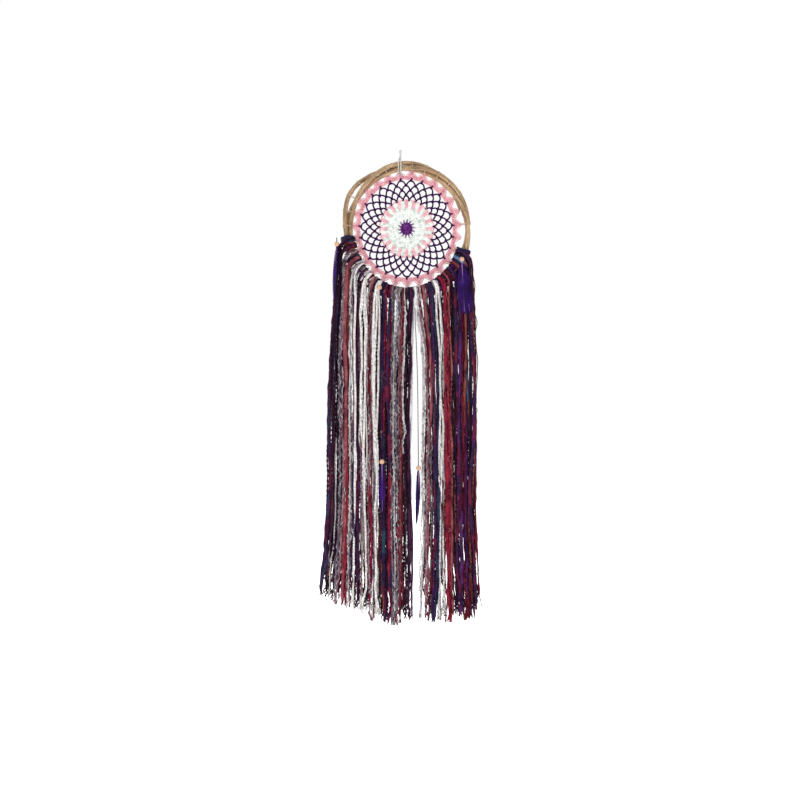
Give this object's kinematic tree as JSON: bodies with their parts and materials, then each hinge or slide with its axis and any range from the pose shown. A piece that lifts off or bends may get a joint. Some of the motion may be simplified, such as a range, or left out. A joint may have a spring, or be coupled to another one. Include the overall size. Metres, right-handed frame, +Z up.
{
  "type": "dream catcher",
  "caption": "Dream catcher: a crocheted web in a hoop of wound rattan canes, hung by a cord, with a long mixed yarn fringe, wooden beads and violet feathers.",
  "frame": {"origin": "inside of the hanging thread's top, where the nail carries it", "axes": "+Z up, +X right, -Y the front of the web"},
  "size_m": [0.2541, 0.0338, 0.7626],
  "materials": {
    "rattan": "satin bark",
    "turned_wood": "satin",
    "violet_feather": "silky",
    "fine_thread": "plain",
    "white_cord": "twisted",
    "purple_cotton": "crocheted",
    "dark_purple_cotton": "crocheted",
    "white_cotton": "crocheted",
    "pink_and_white_cotton": "crocheted",
    "pink_cotton": "crocheted",
    "knot_yarn": "twisted yarn",
    "fringe_yarn": "twisted, slubbed and boucle yarn",
    "dark_strand": "twisted"
  },
  "bodies": {
    "thread": {"hang_thread": "fine_thread"},
    "knot": {"hang_knot": "white_cord"},
    "cord": {"hang_cord": "white_cord"},
    "hoop": {"cane_outer": "rattan", "cane_inner": "rattan", "cane_short": "rattan", "web_lacing": "fine_thread", "fringe_knots": "knot_yarn", "bead_top": "turned_wood", "web_centre": "purple_cotton", "web_white_rounds": "white_cotton", "web_pink_round": "pink_and_white_cotton", "web_mesh": "dark_purple_cotton", "web_edging": "pink_cotton"},
    "tassel_left": {"yarn_01": "fringe_yarn", "yarn_02": "fringe_yarn", "tie_left": "dark_strand", "bead_left": "turned_wood", "feather_left": "violet_feather"},
    "tassel_right": {"yarn_22": "fringe_yarn", "yarn_23": "fringe_yarn", "yarn_24": "fringe_yarn", "tie_right": "dark_strand", "bead_right": "turned_wood", "feather_right_front": "violet_feather", "feather_right_back": "violet_feather"},
    "tassel_middle": {"yarn_10": "fringe_yarn", "strand_middle": "dark_strand", "bead_middle": "turned_wood", "feather_middle": "violet_feather"},
    "tassel_gap": {"yarn_15": "fringe_yarn", "strand_gap": "dark_strand", "bead_gap": "turned_wood", "feather_gap": "violet_feather"},
    "bundle_03": {"yarn_03": "fringe_yarn"},
    "bundle_04": {"yarn_04": "fringe_yarn"},
    "bundle_05": {"yarn_05": "fringe_yarn"},
    "bundle_06": {"yarn_06": "fringe_yarn"},
    "bundle_07": {"yarn_07": "fringe_yarn"},
    "bundle_08": {"yarn_08": "fringe_yarn"},
    "bundle_09": {"yarn_09": "fringe_yarn"},
    "bundle_11": {"yarn_11": "fringe_yarn"},
    "bundle_12": {"yarn_12": "fringe_yarn"},
    "bundle_13": {"yarn_13": "fringe_yarn"},
    "bundle_14": {"yarn_14": "fringe_yarn"},
    "bundle_16": {"yarn_16": "fringe_yarn"},
    "bundle_17": {"yarn_17": "fringe_yarn"},
    "bundle_18": {"yarn_18": "fringe_yarn"},
    "bundle_19": {"yarn_19": "fringe_yarn"},
    "bundle_20": {"yarn_20": "fringe_yarn"},
    "bundle_21": {"yarn_21": "fringe_yarn"}
  },
  "joints": [
    {"name": "side_swing", "type": "hinge", "parent": "thread", "child": "knot", "pos_m": [-0.00029, 0, -0.00635], "axis": [0, 1, 0], "range_deg": [-25, 25]},
    {"name": "hanger_twist", "type": "hinge", "parent": "knot", "child": "cord", "pos_m": [0, 0, -0.01128], "axis": [0, 0, 1], "range_deg": [-180, 180]},
    {"name": "hoop_swing", "type": "hinge", "parent": "cord", "child": "hoop", "pos_m": [-0.0011, -0.0001, -0.02708], "axis": [1, 0, 0], "range_deg": [-35, 35]},
    {"name": "tassel_left_swing", "type": "hinge", "parent": "hoop", "child": "tassel_left", "pos_m": [-0.099, -0.00046, -0.148], "axis": [1, 0, 0], "range_deg": [-45, 0]},
    {"name": "tassel_right_swing", "type": "hinge", "parent": "hoop", "child": "tassel_right", "pos_m": [0.104, -0.0002, -0.165], "axis": [1, 0, 0], "range_deg": [-45, 0]},
    {"name": "tassel_middle_swing", "type": "hinge", "parent": "hoop", "child": "tassel_middle", "pos_m": [-0.02591, 0.00047, -0.22228], "axis": [1, 0, 0], "range_deg": [-45, 45]},
    {"name": "tassel_gap_swing", "type": "hinge", "parent": "hoop", "child": "tassel_gap", "pos_m": [0.02775, -0.00138, -0.22843], "axis": [1, 0, 0], "range_deg": [-45, 45]},
    {"name": "bundle_03_swing", "type": "hinge", "parent": "hoop", "child": "bundle_03", "pos_m": [-0.07797, -0.00187, -0.16505], "axis": [1, 0, 0], "range_deg": [-45, 45]},
    {"name": "bundle_04_swing", "type": "hinge", "parent": "hoop", "child": "bundle_04", "pos_m": [-0.07344, 0.00116, -0.17572], "axis": [1, 0, 0], "range_deg": [-45, 45]},
    {"name": "bundle_05_swing", "type": "hinge", "parent": "hoop", "child": "bundle_05", "pos_m": [-0.06779, -0.001, -0.18577], "axis": [1, 0, 0], "range_deg": [-45, 45]},
    {"name": "bundle_06_swing", "type": "hinge", "parent": "hoop", "child": "bundle_06", "pos_m": [-0.0611, 0.00169, -0.19505], "axis": [1, 0, 0], "range_deg": [-45, 45]},
    {"name": "bundle_07_swing", "type": "hinge", "parent": "hoop", "child": "bundle_07", "pos_m": [-0.05346, -0.00144, -0.20345], "axis": [1, 0, 0], "range_deg": [-45, 45]},
    {"name": "bundle_08_swing", "type": "hinge", "parent": "hoop", "child": "bundle_08", "pos_m": [-0.04497, 0.00131, -0.21085], "axis": [1, 0, 0], "range_deg": [-45, 45]},
    {"name": "bundle_09_swing", "type": "hinge", "parent": "hoop", "child": "bundle_09", "pos_m": [-0.03575, -0.00149, -0.21715], "axis": [1, 0, 0], "range_deg": [-45, 45]},
    {"name": "bundle_11_swing", "type": "hinge", "parent": "hoop", "child": "bundle_11", "pos_m": [-0.01559, -0.00136, -0.22615], "axis": [1, 0, 0], "range_deg": [-45, 45]},
    {"name": "bundle_12_swing", "type": "hinge", "parent": "hoop", "child": "bundle_12", "pos_m": [-0.00492, 0.00141, -0.22873], "axis": [1, 0, 0], "range_deg": [-45, 45]},
    {"name": "bundle_13_swing", "type": "hinge", "parent": "hoop", "child": "bundle_13", "pos_m": [0.00596, -0.00129, -0.22998], "axis": [1, 0, 0], "range_deg": [-45, 45]},
    {"name": "bundle_14_swing", "type": "hinge", "parent": "hoop", "child": "bundle_14", "pos_m": [0.0169, 0.00137, -0.22988], "axis": [1, 0, 0], "range_deg": [-45, 45]},
    {"name": "bundle_16_swing", "type": "hinge", "parent": "hoop", "child": "bundle_16", "pos_m": [0.03838, 0.00149, -0.22565], "axis": [1, 0, 0], "range_deg": [-45, 45]},
    {"name": "bundle_17_swing", "type": "hinge", "parent": "hoop", "child": "bundle_17", "pos_m": [0.04863, -0.00131, -0.22158], "axis": [1, 0, 0], "range_deg": [-45, 45]},
    {"name": "bundle_18_swing", "type": "hinge", "parent": "hoop", "child": "bundle_18", "pos_m": [0.05839, 0.00138, -0.21627], "axis": [1, 0, 0], "range_deg": [-45, 45]},
    {"name": "bundle_19_swing", "type": "hinge", "parent": "hoop", "child": "bundle_19", "pos_m": [0.06751, -0.00149, -0.20979], "axis": [1, 0, 0], "range_deg": [-45, 45]},
    {"name": "bundle_20_swing", "type": "hinge", "parent": "hoop", "child": "bundle_20", "pos_m": [0.07587, 0.00136, -0.20224], "axis": [1, 0, 0], "range_deg": [-45, 45]},
    {"name": "bundle_21_swing", "type": "hinge", "parent": "hoop", "child": "bundle_21", "pos_m": [0.08337, -0.00105, -0.1937], "axis": [1, 0, 0], "range_deg": [0, 45]}
  ]
}
